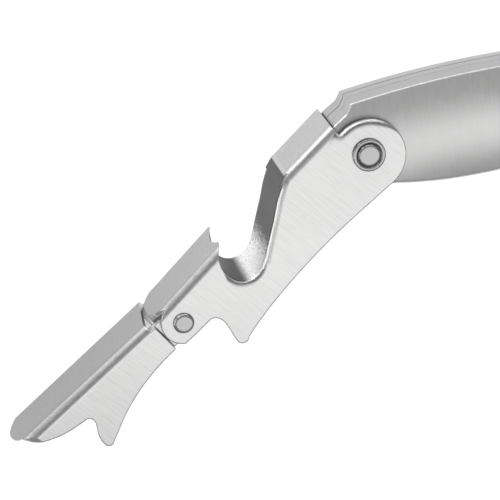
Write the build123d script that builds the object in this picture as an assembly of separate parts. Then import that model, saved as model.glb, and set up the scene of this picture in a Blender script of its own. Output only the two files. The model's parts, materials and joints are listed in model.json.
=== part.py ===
from build123d import *
import math
import os

# Waiter's corkscrew with a two-step lever, lying on its side. Millimetres.
# X runs along the handle from the lever's pivot to the blade's end, Y towards the handle's back, Z up.
# The origin is on the lever's pivot axis, in the plane that the rear rivet heads rest on.

# ---- driving dimensions ----
CHEEK_OUT = 6.5          # half the lever's outside width
SHEET = 1.0              # thickness of the lever's sheet
HEAD_RISE = 0.7          # height of the rivet heads over the cheeks
MID = CHEEK_OUT + HEAD_RISE   # height of the middle plane over the resting plane
CHEEK_IN = CHEEK_OUT - SHEET
BEND = 1.8               # outside radius of the lever's bends
LEVER_ANGLE = 221.2      # direction in which the open lever points, seen from above
LINK = 46.5              # distance between the two pivots of the lever

BACK_R = 195.0           # radius of the handle's arched back
BACK_C = (49.0, -178.6)  # centre of that arc
BACK_HALF = 4.3          # half thickness of the handle at the edge of its back
HALF = 5.2               # half thickness where the sides are fullest
CORE = 1.15              # half thickness of the middle layer
FULLEST = 9.5            # how far under the back the sides are fullest
SLOT = 3.8               # half width of the worm's recess

TONGUE_END = 50.85       # how far the first lever's web reaches past the link
WEB_END_Y = -4.35        # height of the first lever's web at that end
LIP = (31.6, -6.35)      # tip of the lip beside the notch
CREST = (13.2, -8.3)     # where the notch leaves the web
SHOULDER = 4.45          # where the second lever's full width begins, from the link
NOSE_R = 6.9             # radius of the second lever's end
WEB_LENGTH = 40.0        # length of the second lever's web before its end is rounded

PIVOT_R = 1.9
BOSS_R = 6.85
LINK_R = 1.6
RUN = 0.05               # running clearance, on the radius

WORM_AT = (37.0, 1.5)    # worm's pin
WORM_DIP = 10.0          # degrees by which the folded worm dips under X
WORM_R = 2.4             # radius of the helix, to the middle of the wire
WIRE_R = 1.15
PITCH = 8.8
TURNS = 4.6
HUB_R = 3.1

KNIFE_AT = (102.0, 4.4)  # blade's pin
BLADE_HALF = 0.8
SPRING_AT = (42.5, 6.8)  # pin of the blade's spring

SPACER_PINS = [(9.5, 2.1), (30.0, 10.8)]
SPACER_PIN_R = 1.5
PIN_R = 1.6
PLATE_HOLES = [
    (PIVOT_R, (0, 0)),
    (PIN_R, WORM_AT),
    (PIN_R, KNIFE_AT),
    (1.0, SPRING_AT),
    (SPACER_PIN_R, SPACER_PINS[0]),
    (SPACER_PIN_R, SPACER_PINS[1]),
]


# ---- helpers ----
def disc(radius, low, high, at=(0, 0)):
    """A round solid along Z between two heights, counted from the middle plane."""
    return Pos(at[0], at[1], low) * Cylinder(radius, high - low, align=(Align.CENTER, Align.CENTER, Align.MIN))


def both(solid):
    """A solid and its mirror image across the middle plane."""
    return [solid, mirror(solid, Plane.XY)]


def slab(face, low, high):
    return Pos(0, 0, low) * extrude(face, high - low, dir=(0, 0, 1))


def back_point(radius, x):
    """The point at x on a circle about the centre of the back's arc."""
    return (x, BACK_C[1] + math.sqrt(radius**2 - (x - BACK_C[0])**2))


def band(inner, outer, x_low, x_high):
    """A face between two arcs parallel to the back."""
    x_mid = (x_low + x_high) / 2
    a, b, c = (back_point(outer, x) for x in (x_low, x_mid, x_high))
    d, e, f = (back_point(inner, x) for x in (x_high, x_mid, x_low))
    return make_face(ThreePointArc(a, b, c) + Line(c, d) + ThreePointArc(d, e, f) + Line(f, a))


def domed_head(radius, low, rise, at=(0, 0)):
    """A rivet head with a flat middle and a round shoulder."""
    head = disc(radius, low, low + rise, at)
    rim = head.edges().filter_by(GeomType.CIRCLE).sort_by(Axis.Z)[-1]
    return fillet(rim, rise * 0.85)


def rivet(shank, head, low, rise, at):
    """A pin with a domed head on each side."""
    return disc(shank, -low, low, at).fuse(*both(domed_head(head, low, rise, at)))


# ---- handle ----
def handle_stock():
    """A ring about the back's centre, with the handle's crowned sides and back as its section."""
    crown, deep = 0.34, 24.0
    fall = HALF - BACK_HALF
    side_r = (FULLEST**2 + fall**2) / (2 * fall)
    low_half = HALF - side_r + math.sqrt(side_r**2 - (deep - FULLEST)**2)
    low, full = BACK_R - deep, BACK_R - FULLEST
    section = make_face(
        ThreePointArc((low, low_half), (full, HALF), (BACK_R, BACK_HALF))
        + ThreePointArc((BACK_R, BACK_HALF), (BACK_R + crown, 0), (BACK_R, -BACK_HALF))
        + ThreePointArc((BACK_R, -BACK_HALF), (full, -HALF), (low, -low_half))
        + Line((low, -low_half), (low, low_half))
    )
    upright = Plane(origin=(0, 0, 0), x_dir=(0, 1, 0), z_dir=(1, 0, 0)) * section
    return Pos(BACK_C[0], BACK_C[1], 0) * revolve(upright, Axis.Z, 360)


def handle_face():
    """Side view of the handle; its back is left over-high for the ring to trim."""
    high = 22.0
    neck = Polyline((-3.0, high), (-3.25, 8.9), (-3.93, 7.39), (-6.34, 5.28), (-6.5, 4.3))
    nose = Spline((-6.5, 4.3), (-7.7, 0.0), (-5.9, -4.3), (-1.5, -6.3), (5.0, -6.5))
    belly = Spline(
        (5.0, -6.5), (14.5, -6.65), (23.4, -5.8), (38.0, -3.5), (54.0, -2.7), (74.0, -4.5), (92.0, -6.8),
        (104.5, -6.0), (110.8, 0.0), (110.6, 6.0),
        tangents=[(1, -0.06), (-0.15, 1)],
    )
    rest = Polyline((110.6, 6.0), (110.0, high), (-3.0, high))
    return make_face(neck + nose + belly + rest)


def worm_recess():
    """The hollow that the worm folds into and swings out of."""
    width, over, reach = 8.8, 14.0, 57.0
    lane = Pos(reach / 2 - 1, -over / 2 + width / 2, 0) * Rectangle(reach, over)
    end = Pos(reach - 1, 0, 0) * Circle(width / 2)
    root = Circle(HUB_R + 0.5)
    sweep_room = Pos(0, -over / 2, 0) * Rectangle(2 * HUB_R + 2.2, over)
    lane = Rot(0, 0, -WORM_DIP) * (lane + end + root)
    return Pos(WORM_AT[0], WORM_AT[1], 0) * (lane + sweep_room)


def side_plate(low, high):
    """One side of the handle, between two heights that reach past its outer face."""
    plate = handle_stock() & slab(handle_face(), low, high)
    plate -= slab(worm_recess(), -SLOT, SLOT)
    for radius, at in PLATE_HOLES:
        plate -= disc(radius, low, high, at)
    return plate


def neck_spacer():
    """The middle layer: full height at the neck, and a bar under the back further on."""
    front_end, bar_end, depth = 30.5, 54.0, 6.6
    layer = slab(handle_face(), -CORE, CORE) & handle_stock()
    front = layer & (Pos(front_end - 30, 0, 0) * Box(60, 60, 10))
    bar = layer & slab(band(BACK_R - depth, BACK_R + 2, 20.0, bar_end), -CORE, CORE)
    spacer = front + bar
    for radius, at in PLATE_HOLES[:1] + PLATE_HOLES[4:]:
        spacer -= disc(radius, -HALF, HALF, at)
    return spacer


def spacer_pins():
    pins = []
    for at in SPACER_PINS:
        pins.append(disc(SPACER_PIN_R, -HALF, HALF, at) & handle_stock())
    return Compound(children=pins)


def pivot_ring(at, low):
    """A raised eyelet that frames the rivet's head."""
    outer, inner, floor, rise = 3.1, 2.35, 0.2, 0.5
    ring = disc(outer, low, low + rise, at) - disc(inner, low + floor, low + 2, at)
    top = ring.edges().filter_by(GeomType.CIRCLE).sort_by(Axis.Z)[-1]
    return fillet(top, 0.2) - disc(PIVOT_R, 0, 9, at)


def pivot_rivet():
    return rivet(PIVOT_R, 2.15, CHEEK_OUT + 0.25, HEAD_RISE - 0.25, (0, 0))


def washers(radius, low, high, bore, at):
    """A flat ring on each side of the middle plane."""
    rings = []
    for bottom in (low, -high):
        rings.append(disc(radius, bottom, bottom + high - low, at) - disc(bore, -9, 9, at))
    return Compound(children=rings)


def knife_ring():
    """A boss on the outside of the plate, as high as the lever's cheek."""
    radius, seat = 3.6, 3.9
    boss = disc(radius, seat, CHEEK_OUT, KNIFE_AT) - handle_stock()
    boss = fillet(boss.edges().filter_by(GeomType.CIRCLE).sort_by(Axis.Z)[-1], 0.5)
    return boss - disc(PIN_R, 0, 9, KNIFE_AT)


# ---- levers, drawn along X from their pivot, with the steps on the +Y side ----
def notch_curve():
    """The notch's outline from the lip to the crest."""
    return Spline(
        (34.4, -1.0), (33.6, 1.45), (30.9, 2.84), (28.2, 2.15), (26.2, 0.75), (23.2, -1.48), (20.2, -3.72),
        (17.2, -5.95), (15.3, -7.25), CREST, tangents=[(-0.1, 1), (-1, -0.45)],
    )


def first_outline():
    """Side view of the first lever without its end radius at the link."""
    fin_tip, step, heel = (41.75, 10.2), (42.6, 3.2), (46.5, 3.4)
    low = Spline((1.0, 7.4), (12.0, 7.38), (25.0, 8.25), (39.5, 11.0), tangents=[(1, 0.0), (1, 0.3)])
    tip = ThreePointArc((39.5, 11.0), (41.0, 11.35), fin_tip)
    inner = Spline(fin_tip, (41.1, 6.8), (41.15, 4.3), step, tangents=[(-0.1, -1), (1, 0)])
    end = Polyline(step, heel, (TONGUE_END, 3.4), (TONGUE_END, WEB_END_Y))
    web = Line((TONGUE_END, WEB_END_Y), LIP)
    lip = ThreePointArc(LIP, (33.75, -4.2), (34.4, -1.0))
    upper = Line(CREST, (1.6, -9.2)) + Line((1.6, -9.2), (1.6, -6.6))
    boss = ThreePointArc((1.6, -6.6), (-BOSS_R, 0.3), (1.0, 7.4))
    return make_face(low + tip + inner + end + web + lip + notch_curve() + upper + boss)


def first_inside():
    """The channel's inside: everything that lies a sheet's thickness under the webs and the notch."""
    far = 30.0
    web_in = Line((60.0, -2.35), (36.4, -4.85))
    cup = ThreePointArc((36.4, -4.85), (35.4, 0.6), (31.0, 3.84))
    heel = ThreePointArc((31.0, 3.84), (28.6, 3.6), (26.8, 2.45))
    wall = Line((26.8, 2.45), (15.5, -6.0))
    crest = ThreePointArc((15.5, -6.0), (14.3, -6.8), (13.0, -7.3))
    upper = Line((13.0, -7.3), (-12.0, -9.2))
    rest = Polyline((-12.0, -9.2), (-12.0, far), (60.0, far), (60.0, -2.35))
    return make_face(web_in + cup + heel + wall + crest + upper + rest)


def web_edges(solid, slack=0.05):
    """The two outside corners of each flat web."""
    found = []
    for edge in solid.edges().filter_by(GeomType.LINE):
        middle = edge @ 0.5
        flat = abs((edge % 0.5).Z) < slack and abs((edge % 0.5).X) > 0.9
        if flat and abs(abs(middle.Z) - CHEEK_OUT) < slack and middle.Y < -4.0:
            found.append(edge)
    return found


def first_lever():
    body = slab(first_outline(), -CHEEK_OUT, CHEEK_OUT)
    body = fillet(web_edges(body), BEND)
    body -= slab(first_inside(), -CHEEK_IN, CHEEK_IN)
    scallop = Pos(25.8, -6.2, 0) * Rot(90, 0, 0) * Cylinder(7.0, 8)
    body -= scallop & (Pos(31.0, -6.2, 0) * Box(5.0, 9, 15))
    end = Pos(LINK + 4, 0, 0) * Box(8, 24, 24) - disc(4.2, -12, 12, (LINK, 0))
    tongue = Pos(LINK, -6, 0) * Rot(90, 0, 0) * slab(tongue_face(), -2.7, 2.7)
    body -= end - tongue
    body += Pos(LINK + 3.3, -3.0, 2.6) * Box(2.0, 1.3, 2.2)
    body -= disc(PIVOT_R + RUN, -9, 9)
    body -= disc(LINK_R + 0.01, -9, 9, (LINK, 0))
    return body


def tongue_face():
    """The end of the first lever's web, seen from above the web."""
    side, corner = 4.4, 2.4
    return make_face(
        Polyline((4.6, -corner), (4.6, corner), (2.9, side), (0, side + 2), (0, -side - 2), (2.9, -side),
                 (4.6, -corner))
    )


def second_web(x):
    """Height of the outside of the second lever's web."""
    return -4.55 + 0.0155 * (x - SHOULDER)


def second_outline():
    """Side view of the second lever's wide part, from its shoulder to the end of its cheeks."""
    tip, corner, cheek_end = (26.8, 7.6), (25.7, 1.3), (37.3, -3.9)
    low = Spline((SHOULDER, 2.85), (12.0, 3.58), (20.0, 5.95), (25.0, 8.3), tangents=[(1, 0.03), (1, 0.45)])
    round_tip = ThreePointArc((25.0, 8.3), (26.2, 8.55), tip)
    inner = Spline(tip, (26.1, 4.8), (25.0, 2.2), corner, tangents=[(0, -1), (1, -0.2)])
    taper = Spline(corner, (30.0, 0.62), (34.0, -0.93), cheek_end, tangents=[(1, -0.1), (0.6, -1)])
    web_end = (WEB_LENGTH, second_web(WEB_LENGTH))
    rest = Polyline(cheek_end, (WEB_LENGTH, -3.3), web_end, (SHOULDER, second_web(SHOULDER)), (SHOULDER, 2.85))
    return make_face(low + round_tip + inner + taper + rest)


def second_lever():
    tang_out, tang_in = CHEEK_IN - 0.15, CHEEK_IN - 0.15 - SHEET
    body = slab(second_outline(), -CHEEK_OUT, CHEEK_OUT)
    body = fillet(web_edges(body), BEND)
    square = Pos(39.0, 0, 0) * Box(13.0, 30, 20)
    body -= square - Pos(32.4, 0, 0) * Rot(90, 0, 0) * Cylinder(NOSE_R, 30)
    wall = SHOULDER + SHEET
    start, end = (wall, second_web(wall) + SHEET), (60, second_web(60) + SHEET)
    inside = make_face(Polyline(start, end, (60, 20), (wall, 20), start))
    body -= slab(inside, -CHEEK_IN, CHEEK_IN)
    body -= Rot(90, 0, 0) * slab(web_relief(), 3.1, 20)
    opening = Pos(SHOULDER, second_web(SHOULDER) + SHEET, 0)
    body -= opening * Box(4.0, 30, 2 * tang_in, align=(Align.CENTER, Align.MIN, Align.CENTER))
    neck = Pos(3.0, -0.15, 0) * Rectangle(6.0, 5.9)
    tang = Circle(3.45) + neck
    for low in (-tang_out, tang_in):
        body += slab(tang, low, low + SHEET)
    return body - disc(LINK_R + RUN, -9, 9)


def web_relief():
    """The cut that frees the end of the second lever's web, seen from above the web."""
    return make_face(
        Polyline((0, 8), (5.3, 8), (5.85, 4.5), (5.3, -0.6), (4.65, -5), (4.65, -8), (0, -8), (0, 8))
    )


def on_lever(solid):
    """From the lever's own axes to where the open lever lies."""
    return Rot(0, 0, LEVER_ANGLE) * solid


def on_link(solid):
    return on_lever(Pos(LINK, 0, 0) * solid)


def link_rivet():
    return rivet(LINK_R, 2.0, CHEEK_OUT, HEAD_RISE, (0, 0))


def link_sleeve():
    width = CHEEK_IN - 0.15 - SHEET - RUN
    return disc(2.5, -width, width) - disc(LINK_R, -9, 9)


# ---- worm and blade ----
def on_worm(solid):
    return Pos(WORM_AT[0], WORM_AT[1], 0) * Rot(0, 0, -WORM_DIP) * solid


def shank():
    """The straight end of the wire, set in the hub."""
    return Pos(2.2, 0, 0) * Rot(0, 90, 0) * Cylinder(WIRE_R, 2.0, align=(Align.CENTER, Align.CENTER, Align.MIN))


def worm():
    """A wire screw along X: a shank on its axis, a bent root, and the coil."""
    coil_start = 9.5
    helix = Helix(pitch=PITCH, height=PITCH * TURNS, radius=WORM_R)
    coil = sweep(Plane(origin=helix @ 0, z_dir=helix % 0) * Circle(WIRE_R), path=helix, is_frenet=True)
    coil = Pos(coil_start, 0, 0) * Rot(0, 90, 0) * coil
    root = Spline((4.2, 0, 0), (coil_start, 0, -WORM_R), tangents=[(1, 0, 0), (0.55, 1, 0)])
    bend = sweep(Plane(origin=root @ 0, z_dir=root % 0) * Circle(WIRE_R), path=root)
    return coil + bend + shank()


def worm_hub():
    width = SLOT - 0.15
    hub = disc(HUB_R, -width, width)
    hub = fillet(hub.edges().filter_by(GeomType.CIRCLE), 0.4)
    return hub - disc(PIN_R + RUN, -9, 9) - shank()


def foil_blade():
    """The folded blade: a tang round the pin and a blade that follows the back."""
    spine, edge = BACK_R + 0.9, BACK_R - 5.9
    body = make_face(
        ThreePointArc(back_point(spine, 98.0), back_point(spine, 82.0), back_point(spine - 0.4, 64.0))
        + Spline(back_point(spine - 0.4, 64.0), back_point(edge + 2.5, 57.5), tangents=[(-1, 0.02), (-0.6, -0.8)])
        + Spline(back_point(edge + 2.5, 57.5), back_point(edge, 64.0), back_point(edge, 90.0),
                 back_point(BACK_R - 8.3, 99.5))
        + Line(back_point(BACK_R - 8.3, 99.5), back_point(spine, 98.0))
    )
    tang = Pos(KNIFE_AT[0], KNIFE_AT[1], 0) * Circle(3.7)
    blade = slab(body + tang, -BLADE_HALF, BLADE_HALF)
    nick = Pos(*back_point(spine - 1.3, 72.0), BLADE_HALF) * Box(7.0, 0.8, 0.6)
    return blade - nick - disc(PIN_R + RUN, -9, 9, KNIFE_AT)


def knife_spring():
    top = BACK_R - 8.7
    bar = slab(band(top - 2.1, top, 40.5, 101.0), -CORE + 0.15, CORE - 0.15)
    eye = disc(2.0, -CORE + 0.15, CORE - 0.15, SPRING_AT)
    return bar + eye - disc(1.0 + RUN, -9, 9, SPRING_AT)


# ---- every piece ----
def flush_pin(radius, at):
    return disc(radius, -HALF, HALF, at) & handle_stock()


def build():
    ring = pivot_ring((0, 0), CHEEK_OUT + 0.05)
    boss = knife_ring()
    return {
        "side_plate_front": side_plate(CORE, HALF + 1),
        "side_plate_rear": side_plate(-HALF - 1, -CORE),
        "neck_spacer": neck_spacer(),
        "spacer_pins": spacer_pins(),
        "lever_pivot_rivet": pivot_rivet(),
        "pivot_ring_front": ring,
        "pivot_ring_rear": mirror(ring, Plane.XY),
        "lever_washers": washers(4.2, HALF + 0.1, CHEEK_IN - 0.1, PIVOT_R, (0, 0)),
        "first_lever": on_lever(first_lever()),
        "link_rivet": on_link(link_rivet()),
        "link_sleeve": on_link(link_sleeve()),
        "second_lever": on_link(second_lever()),
        "worm": on_worm(worm()),
        "worm_hub": on_worm(worm_hub()),
        "worm_pin": flush_pin(PIN_R, WORM_AT),
        "foil_blade": foil_blade(),
        "knife_pin": rivet(PIN_R, 2.2, CHEEK_OUT, HEAD_RISE, KNIFE_AT),
        "knife_ring_front": boss,
        "knife_ring_rear": mirror(boss, Plane.XY),
        "knife_washers": washers(3.2, BLADE_HALF + RUN, CORE - 0.02, PIN_R, KNIFE_AT),
        "knife_spring": knife_spring(),
        "spring_pin": flush_pin(1.0, SPRING_AT),
    }


os.makedirs("parts", exist_ok=True)
for name, shape in build().items():
    export_step(Pos(0, 0, MID) * shape, f"parts/{name}.step")
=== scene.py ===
import json
import math

import bpy
from mathutils import Matrix, Vector


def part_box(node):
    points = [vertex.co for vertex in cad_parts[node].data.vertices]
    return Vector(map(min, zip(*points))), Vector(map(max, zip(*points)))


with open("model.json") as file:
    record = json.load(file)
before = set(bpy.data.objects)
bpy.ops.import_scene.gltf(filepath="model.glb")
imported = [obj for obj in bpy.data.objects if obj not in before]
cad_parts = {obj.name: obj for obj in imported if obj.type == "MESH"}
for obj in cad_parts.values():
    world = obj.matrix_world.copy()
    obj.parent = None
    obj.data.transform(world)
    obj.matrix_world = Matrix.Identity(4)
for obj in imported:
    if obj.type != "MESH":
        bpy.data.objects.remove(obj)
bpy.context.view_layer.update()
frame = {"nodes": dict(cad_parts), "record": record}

# ---- places taken from the frame, in metres ----
MM = 0.001
cheek_low, cheek_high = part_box("first_lever")
MID = (cheek_low[2] + cheek_high[2]) / 2
CHEEK_TOP = cheek_high[2]
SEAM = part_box("neck_spacer")[1][2] - MID

# ---- places on the handle, in its own axes, in millimetres ----
HANDLE_GRAIN = math.radians(97.0)       # direction of the brushing
FLUSH_PINS = (((9.5, 2.1), 3.0), ((30.0, 10.8), 3.4), ((37.0, 1.5), 3.4), ((42.5, 6.8), 3.4))  # place and reach

# ---- places on the lever, in the open lever's axes, in millimetres ----
LEVER_TURN = math.radians(221.2)        # direction in which the open lever points
LEVER_GRAIN = math.radians(-41.0)
NOTCH_X = (13.3, 34.9)                  # where the notch begins and ends along the lever
NOTCH_TOP = 3.3
NOTCH_WALL = (0.7465, -18.77)           # slope and offset of the notch's straight wall
NOTCH_CUP = ((30.9, -0.7), 3.55)        # centre and radius of the notch's round bottom
BOSS = ((0.2, 0.4), 7.0)

# ---- finishes ----
STEEL = 0.55                            # reflectance of the satin steel
EDGE_HIGHLIGHT_LEVEL = 1.0                       # level of the painted highlight along rounded edges


# ---- camera ----
def add_camera():
    """A long lens above the tool, leaning so that its upper side turns down and to the right."""
    lean = math.radians(23.0)
    slant = math.radians(58.7)
    roll = math.radians(2.0)
    lens, sensor, width = 200.0, 36.0, 92.6 * MM
    ca, sa = math.cos(slant), math.sin(slant)
    up_axis = Vector((math.sin(lean) * ca, -math.sin(lean) * sa, math.cos(lean)))
    along = Vector((math.cos(lean) * ca, -math.cos(lean) * sa, -math.sin(lean)))
    across = Vector((-sa, -ca, 0.0))
    flat_x = ca * along - sa * across
    flat_y = -sa * along - ca * across
    row_x = math.cos(roll) * flat_x + math.sin(roll) * flat_y
    row_y = -math.sin(roll) * flat_x + math.cos(roll) * flat_y
    right = Vector((row_x.x, row_y.x, up_axis.x))
    above = Vector((row_x.y, row_y.y, up_axis.y))
    back = Vector((row_x.z, row_y.z, up_axis.z))
    target = Vector((-22.4 * MM, -17.1 * MM, CHEEK_TOP))
    place = target + back * (width * lens / sensor)
    cam = bpy.data.cameras.new("camera")
    cam.lens = lens
    cam.sensor_width = sensor
    cam.clip_start = 0.01
    cam.clip_end = 20.0
    obj = bpy.data.objects.new("camera", cam)
    bpy.context.scene.collection.objects.link(obj)
    obj.matrix_world = matrix_from(right, above, back, place)
    bpy.context.scene.camera = obj


def matrix_from(x_axis, y_axis, z_axis, place):
    rows = [(x_axis[i], y_axis[i], z_axis[i], place[i]) for i in range(3)]
    return Matrix(rows + [(0.0, 0.0, 0.0, 1.0)])


# ---- shader building blocks ----
class Shader:
    """A small helper that adds and links nodes of one material."""

    def __init__(self, name):
        self.material = bpy.data.materials.new(name)
        self.material.use_nodes = True
        self.tree = self.material.node_tree
        self.tree.nodes.clear()
        self.out = self.tree.nodes.new("ShaderNodeOutputMaterial")
        self.bsdf = self.tree.nodes.new("ShaderNodeBsdfPrincipled")
        self.link(self.bsdf.outputs["BSDF"], self.out.inputs["Surface"])

    def node(self, kind, **settings):
        made = self.tree.nodes.new(kind)
        for key, value in settings.items():
            setattr(made, key, value)
        return made

    def link(self, a, b):
        self.tree.links.new(a, b)

    def math(self, operation, a, b=0.0):
        made = self.node("ShaderNodeMath", operation=operation)
        for socket, value in zip(made.inputs, (a, b)):
            if isinstance(value, (int, float)):
                socket.default_value = value
            else:
                self.link(value, socket)
        return made.outputs[0]

    def product(self, *factors):
        total = factors[0]
        for factor in factors[1:]:
            total = self.math("MULTIPLY", total, factor)
        return total

    def rest(self, share):
        """What is left of 1."""
        return self.math("SUBTRACT", 1.0, share)

    def blend(self, mask, base, other):
        """base where mask is 0, other where it is 1."""
        return self.math("ADD", self.product(base, self.rest(mask)), self.product(other, mask))

    def darken(self, mask, depth):
        """Takes a share of depth off the level where mask is 1."""
        self.level = self.product(self.level, self.rest(self.math("MULTIPLY", mask, depth)))

    def ramp(self, value, low, high):
        """Rises smoothly from 0 at low to 1 at high, and works for high below low too."""
        made = self.node("ShaderNodeMapRange", interpolation_type="SMOOTHSTEP")
        made.inputs["From Min"].default_value = min(low, high)
        made.inputs["From Max"].default_value = max(low, high)
        made.inputs["To Min"].default_value = 0.0 if low < high else 1.0
        made.inputs["To Max"].default_value = 1.0 if low < high else 0.0
        self.link(value, made.inputs["Value"])
        return made.outputs["Result"]

    def spread(self, noise, low, high):
        """Maps the middle half of a noise value onto the range low to high."""
        made = self.node("ShaderNodeMapRange")
        made.inputs["From Min"].default_value = 0.25
        made.inputs["From Max"].default_value = 0.75
        made.inputs["To Min"].default_value = low
        made.inputs["To Max"].default_value = high
        self.link(noise, made.inputs["Value"])
        return made.outputs["Result"]

    def turned(self, vector, angle):
        """A vector in axes that are turned about Z by angle."""
        turn = self.node("ShaderNodeVectorRotate", rotation_type="Z_AXIS")
        turn.inputs["Angle"].default_value = -angle
        self.link(vector, turn.inputs["Vector"])
        return turn.outputs["Vector"]

    def coordinates(self, angle=0.0, stretch=(1.0, 1.0, 1.0)):
        """Object coordinates in axes turned about Z by angle, scaled along them."""
        coords = self.node("ShaderNodeTexCoord")
        scale = self.node("ShaderNodeVectorMath", operation="MULTIPLY")
        scale.inputs[1].default_value = stretch
        self.link(self.turned(coords.outputs["Object"], angle), scale.inputs[0])
        return scale.outputs["Vector"]

    def split(self, vector):
        parts = self.node("ShaderNodeSeparateXYZ")
        self.link(vector, parts.inputs["Vector"])
        return parts.outputs["X"], parts.outputs["Y"], parts.outputs["Z"]

    def place(self, angle=0.0):
        """The point in millimetres, in axes turned about Z by angle."""
        return self.split(self.coordinates(angle, (1 / MM, 1 / MM, 1 / MM)))

    def flat_normal(self):
        """The face's own normal, before any rounding."""
        return self.node("ShaderNodeNewGeometry").outputs["True Normal"]

    def noise(self, vector, scale, detail=2.0, rough=0.5):
        made = self.node("ShaderNodeTexNoise")
        made.inputs["Scale"].default_value = scale
        made.inputs["Detail"].default_value = detail
        made.inputs["Roughness"].default_value = rough
        self.link(vector, made.inputs["Vector"])
        return made.outputs["Fac"]

    def near_circle(self, x, y, centre, radius, reach):
        """1 within three quarters of reach from a circle, fading to 0 at reach."""
        dx, dy = self.math("SUBTRACT", x, centre[0]), self.math("SUBTRACT", y, centre[1])
        squares = self.math("ADD", self.math("MULTIPLY", dx, dx), self.math("MULTIPLY", dy, dy))
        off = self.math("SUBTRACT", self.math("POWER", squares, 0.5), radius)
        return self.ramp(self.math("ABSOLUTE", off), reach, reach * 0.75)

    def edge_turn(self):
        """How far the rounded normal agrees with the flat one: 1 on flat places, less towards an edge."""
        agree = self.node("ShaderNodeVectorMath", operation="DOT_PRODUCT")
        self.link(self.flat_normal(), agree.inputs[0])
        self.link(self.round_edge.outputs["Normal"], agree.inputs[1])
        return agree.outputs["Value"]


def brushed(name, tone, rough, grain_angle, grain=1.0, edge=0.12, bump=0.15):
    """Satin steel: fine grain along one direction, soft mottling, and rounded edges."""
    s = Shader(name)
    fine = s.noise(s.coordinates(grain_angle, (0.05, 1.0, 1.0)), 3000.0, 2.0, 0.6)
    coarse = s.noise(s.coordinates(grain_angle, (0.08, 1.0, 1.0)), 1100.0, 2.0, 0.5)
    cloud = s.noise(s.coordinates(), 90.0, 3.0, 0.6)
    mixed = s.math("ADD", s.math("MULTIPLY", fine, 0.78), s.math("MULTIPLY", coarse, 0.22))
    shade = s.product(s.spread(mixed, 1.0 - 0.07 * grain, 1.0 + 0.07 * grain), s.spread(cloud, 0.98, 1.02))
    s.level = s.product(shade, tone)
    s.rough = s.product(s.spread(mixed, 0.88, 1.12), rough)
    s.bsdf.inputs["Metallic"].default_value = 1.0
    s.round_edge = s.node("ShaderNodeBevel", samples=8)
    s.round_edge.inputs["Radius"].default_value = edge * MM
    relief = s.node("ShaderNodeBump")
    relief.inputs["Strength"].default_value = bump
    relief.inputs["Distance"].default_value = 0.02 * MM
    s.link(mixed, relief.inputs["Height"])
    s.link(s.round_edge.outputs["Normal"], relief.inputs["Normal"])
    s.link(relief.outputs["Normal"], s.bsdf.inputs["Normal"])
    return s


def finish_metal(s, tint=(1.0, 1.0, 0.995)):
    """Links the level and roughness worked out so far to the shader."""
    colour = s.node("ShaderNodeCombineColor")
    for channel, share in zip(("Red", "Green", "Blue"), tint):
        s.link(s.math("MULTIPLY", s.level, share), colour.inputs[channel])
    s.link(colour.outputs["Color"], s.bsdf.inputs["Base Color"])
    s.link(s.rough, s.bsdf.inputs["Roughness"])
    return s.material


# ---- materials ----
def handle_material():
    """Satin steel brushed across, with a painted highlight along its rounded edges, painted shade on its
    upright faces, and the dark seams of its three layers.
    """
    round_radius, sharp_radius = 0.9, 0.015
    front_seam, rear_seam = (1.0, 0.2), (-1.0, 0.9)   # side of the middle plane, and depth of the dark line
    s = brushed("satin_handle_steel", STEEL * 0.94, 0.34, HANDLE_GRAIN)
    x, y, z = s.place()
    (first_at, first_reach), *others = FLUSH_PINS
    pins = s.near_circle(x, y, first_at, 0.0, first_reach)
    for at, reach in others:
        pins = s.math("MAXIMUM", pins, s.near_circle(x, y, at, 0.0, reach))
    sharpened = s.math("MULTIPLY", pins, (round_radius - sharp_radius) * MM)
    s.link(s.math("SUBTRACT", round_radius * MM, sharpened), s.round_edge.inputs["Radius"])
    steep = s.split(s.flat_normal())[2]
    upright = s.ramp(s.math("ABSOLUTE", steep), 0.5, 0.2)
    # painted shade: upright faces are darkened by a fifth
    s.darken(upright, 0.2)
    # painted highlight along rounded edges, except at the pins and on upright faces
    painted_edge_highlight = s.product(s.ramp(s.edge_turn(), 0.985, 0.95), s.rest(pins), s.rest(upright))
    s.level = s.blend(painted_edge_highlight, s.level, EDGE_HIGHLIGHT_LEVEL)
    for side, depth in (front_seam, rear_seam):
        off = s.math("ABSOLUTE", s.math("SUBTRACT", z, (MID + side * SEAM) / MM))
        s.darken(s.product(s.ramp(off, 0.19, 0.10), upright), depth)
    return finish_metal(s)


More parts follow.
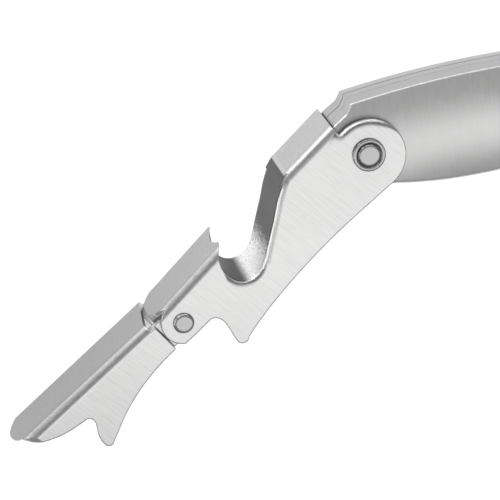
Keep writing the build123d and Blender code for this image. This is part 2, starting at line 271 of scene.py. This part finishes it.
def lever_material():
    """Satin steel with rolled rims, a painted shade band and painted highlight along them, painted shade on the
    webs, and a notch that keeps the darker, rough surface of the punched strip.
    """
    s = brushed("satin_lever_steel", STEEL, 0.30, LEVER_GRAIN, grain=2.1, bump=0.25)
    x, y, _ = s.place(LEVER_TURN)
    to_object = s.node("ShaderNodeVectorTransform", vector_type="NORMAL", convert_from="WORLD",
                       convert_to="OBJECT")
    s.link(s.flat_normal(), to_object.inputs["Vector"])
    _, facing_y, facing_z = s.split(s.turned(to_object.outputs["Vector"], LEVER_TURN))

    # the notch's lining, without the bend of the web beside its lip
    upright = s.ramp(s.math("ABSOLUTE", facing_z), 0.75, 0.6)
    above_web = s.ramp(s.math("ADD", y, s.math("MULTIPLY", x, -0.1)), -9.35, -9.25)
    start, end = NOTCH_X
    lining = s.product(upright, s.ramp(x, start, start + 0.2), s.ramp(x, end, end - 0.2),
                       s.ramp(y, NOTCH_TOP, NOTCH_TOP - 0.2), above_web)
    lip_bend = s.product(s.ramp(facing_y, -0.05, -0.2), s.ramp(y, -2.5, -3.0), s.ramp(x, 30.0, 30.5))
    lining = s.product(lining, s.rest(lip_bend))

    # painted shade: the webs are darkened, more so along the lever
    web = s.product(s.ramp(facing_y, -0.85, -0.97), s.ramp(y, -3.2, -3.6))
    painted_web_shade = s.math("ADD", s.math("MULTIPLY", s.ramp(x, -5.0, 75.0), 0.30), 0.14)
    s.level = s.product(s.level, s.rest(s.product(web, painted_web_shade)))

    # rolled rims of the notch and the boss, with a painted shade band beside each rim and a painted highlight
    # on it
    slope, offset = NOTCH_WALL
    above_wall = s.math("ADD", y, s.math("ADD", s.math("MULTIPLY", x, -slope), -offset))
    off_wall = s.math("ABSOLUTE", s.math("MULTIPLY", above_wall, 0.8))
    near_wall = s.product(s.ramp(off_wall, 1.5, 1.1), s.ramp(x, 13.0, 14.5), s.ramp(x, 28.5, 27.0))
    near_cup = s.product(s.near_circle(x, y, *NOTCH_CUP, 1.3), s.ramp(y, -2.5, 0.0))
    near_boss = s.product(s.near_circle(x, y, *BOSS, 1.5), s.ramp(y, 1.5, -3.5))
    rolled = s.math("MAXIMUM", s.math("MAXIMUM", near_wall, near_cup), near_boss)
    radius = s.math("ADD", s.math("MULTIPLY", rolled, 1.5 * MM), 0.35 * MM)
    s.link(radius, s.round_edge.inputs["Radius"])
    turn = s.edge_turn()
    # painted shade: a dark band just inside each rim
    s.darken(s.product(rolled, s.ramp(turn, 0.998, 0.97), s.ramp(turn, 0.80, 0.88)), 0.6)
    # painted highlight: the rim itself is lifted to the highlight level
    s.level = s.blend(s.product(rolled, s.ramp(turn, 0.84, 0.76)), s.level, EDGE_HIGHLIGHT_LEVEL)

    # pits of the lining, lighter in a patchy band towards the top, short of the cup's far end
    pits = s.noise(s.coordinates(), 2600.0, 3.0, 0.65)
    patchy_y = s.math("ADD", y, s.spread(pits, -1.2, 1.2))
    lighter_band = s.product(s.ramp(patchy_y, -0.9, 2.4), s.ramp(x, 33.2, 31.2))
    pitted = s.product(s.spread(pits, 0.55, 1.35), s.math("ADD", s.math("MULTIPLY", lighter_band, 0.88), 0.09))
    s.level = s.blend(lining, s.level, pitted)
    s.rough = s.blend(lining, s.rough, s.spread(pits, 0.42, 0.55))
    return finish_metal(s)


def set_materials():
    by_slot = {
        "lever_steel": lever_material(),
        "handle_steel": handle_material(),
        "rivet_steel": finish_metal(brushed("rivet_steel", STEEL * 0.62, 0.24, 0.0, grain=0.8, edge=0.5)),
        "worm_steel": finish_metal(brushed("worm_steel", 0.7, 0.16, 0.0, grain=0.4)),
        "blade_steel": finish_metal(brushed("blade_steel", 0.62, 0.24, HANDLE_GRAIN)),
        "washer_brass": finish_metal(brushed("washer_brass", 0.74, 0.3, 0.0), (1.0, 0.78, 0.42)),
    }
    for part in frame["record"]["subparts"]:
        obj = frame["nodes"][part["node"]]
        obj.data.materials.clear()
        obj.data.materials.append(by_slot[part["material_slot"]])


# ---- studio ----
def add_floor():
    half = 3.0
    corners = [(-half, -half, 0), (half, -half, 0), (half, half, 0), (-half, half, 0)]
    mesh = bpy.data.meshes.new("floor")
    mesh.from_pydata(corners, [], [(0, 1, 2, 3)])
    floor = bpy.data.objects.new("floor", mesh)
    bpy.context.scene.collection.objects.link(floor)
    s = Shader("pale_floor")
    dust = s.noise(s.coordinates(), 60.0, 3.0, 0.6)
    colour = s.node("ShaderNodeCombineColor")
    for channel in ("Red", "Green", "Blue"):
        s.link(s.spread(dust, 0.395, 0.405), colour.inputs[channel])
    s.link(colour.outputs["Color"], s.bsdf.inputs["Base Color"])
    s.bsdf.inputs["Roughness"].default_value = 0.9
    s.bsdf.inputs["Emission Color"].default_value = (1.0, 1.0, 1.0, 1.0)
    s.bsdf.inputs["Emission Strength"].default_value = 0.86
    mesh.materials.append(s.material)


def add_softbox(name, toward, distance, size, radiance):
    """A rectangular soft light that faces the tool's pivot from a given direction."""
    light = bpy.data.lights.new(name, "AREA")
    light.shape = "RECTANGLE"
    light.size, light.size_y = size
    light.energy = radiance * math.pi * size[0] * size[1]
    away = Vector(toward).normalized()
    side = Vector((0.0, 1.0, 0.0)).cross(away).normalized()
    obj = bpy.data.objects.new(name, light)
    obj.matrix_world = matrix_from(side, away.cross(side), away, away * distance)
    obj.visible_camera = False
    bpy.context.scene.collection.objects.link(obj)


def add_studio():
    world = bpy.data.worlds.new("studio")
    world.use_nodes = True
    background = world.node_tree.nodes["Background"]
    background.inputs["Color"].default_value = (1.0, 1.0, 1.0, 1.0)
    background.inputs["Strength"].default_value = 0.36
    bpy.context.scene.world = world
    add_softbox("overhead", (0.191, -0.35, 0.92), 0.6, (0.60, 0.21), 1.50)   # cheeks and crown
    add_softbox("low", (0.05, 0.95, 0.30), 0.8, (1.2, 0.20), 3.0)            # the handle's back edge
    add_softbox("horizon", (-0.70, 0.68, 0.10), 0.5, (0.5, 0.10), 4.0)       # the lever's bends
    add_softbox("west", (-0.90, -0.10, 0.37), 0.6, (0.14, 0.5), 3.5)         # the notch's rim
    add_softbox("zenith", (0.19, 0.22, 0.95), 0.8, (0.8, 0.26), 0.40)        # the crown near the back
    bpy.context.scene.view_settings.view_transform = "Standard"
    bpy.context.scene.view_settings.look = "None"


add_camera()
set_materials()
add_floor()
add_studio()
